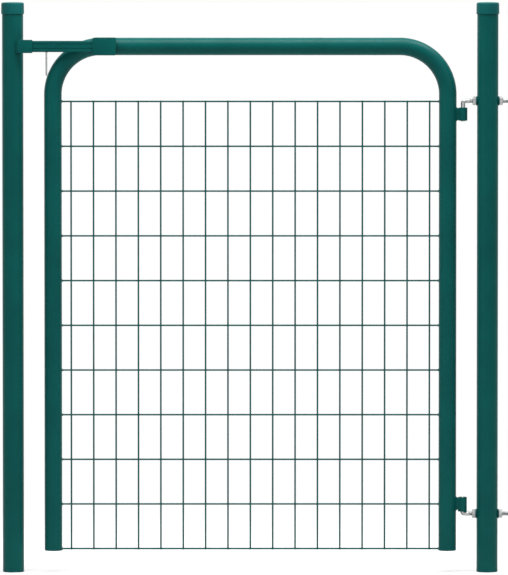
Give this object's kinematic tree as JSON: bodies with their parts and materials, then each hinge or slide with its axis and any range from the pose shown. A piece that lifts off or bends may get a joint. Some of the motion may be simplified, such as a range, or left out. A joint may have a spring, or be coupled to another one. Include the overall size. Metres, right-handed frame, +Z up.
{
  "type": "metal garden gate",
  "caption": "Garden gate of bent steel tube and welded wire mesh between two round posts, with bolted pin hinges and a sliding latch bar.",
  "frame": {"origin": "centre of the flat foot of the hinge post, at ground level", "axes": "+Z up along the post, +X from the latch post to the hinge post, +Y from the front of the gate to its back"},
  "size_m": [1.1575, 0.0615, 1.294],
  "materials": {
    "green_paint": "smooth powder coat, dark green, satin gloss",
    "green_wire": "coated wire, dark green, satin gloss",
    "green_plastic": "moulded, dark green, satin; caps, plugs and washers",
    "zinc_steel": "bright zinc plating, fine threads"
  },
  "bodies": {
    "posts": {"hinge_post": "green_paint", "hinge_post_cap": "green_plastic", "hinge_post_plug": "green_plastic", "latch_post": "green_paint", "latch_post_cap": "green_plastic", "latch_post_plug": "green_plastic", "latch_keeper": "green_paint", "upper_hinge_bolt": "zinc_steel", "upper_inner_nut": "zinc_steel", "upper_outer_nut": "zinc_steel", "upper_inner_washer": "green_plastic", "upper_outer_washer": "green_plastic", "lower_hinge_bolt": "zinc_steel", "lower_inner_nut": "zinc_steel", "lower_outer_nut": "zinc_steel", "lower_inner_washer": "green_plastic", "lower_outer_washer": "green_plastic", "lower_pin_washer": "green_plastic"},
    "leaf": {"gate_frame": "green_paint", "hinge_leg_plug": "green_plastic", "latch_leg_plug": "green_plastic", "wire_mesh": "green_wire", "upper_hinge_eye": "green_paint", "lower_hinge_eye": "green_paint", "latch_housing": "green_paint"},
    "latch": {"latch_bar": "green_paint", "latch_pull": "zinc_steel"}
  },
  "joints": [
    {"name": "gate_swing", "type": "hinge", "parent": "posts", "child": "leaf", "pos_m": [-0.056, 0, 0], "axis": [0, 0, -1], "range_deg": [0, 110]},
    {"name": "latch_slide", "type": "slide", "parent": "leaf", "child": "latch", "axis": [1, 0, 0], "range_m": [0, 0.04]}
  ]
}
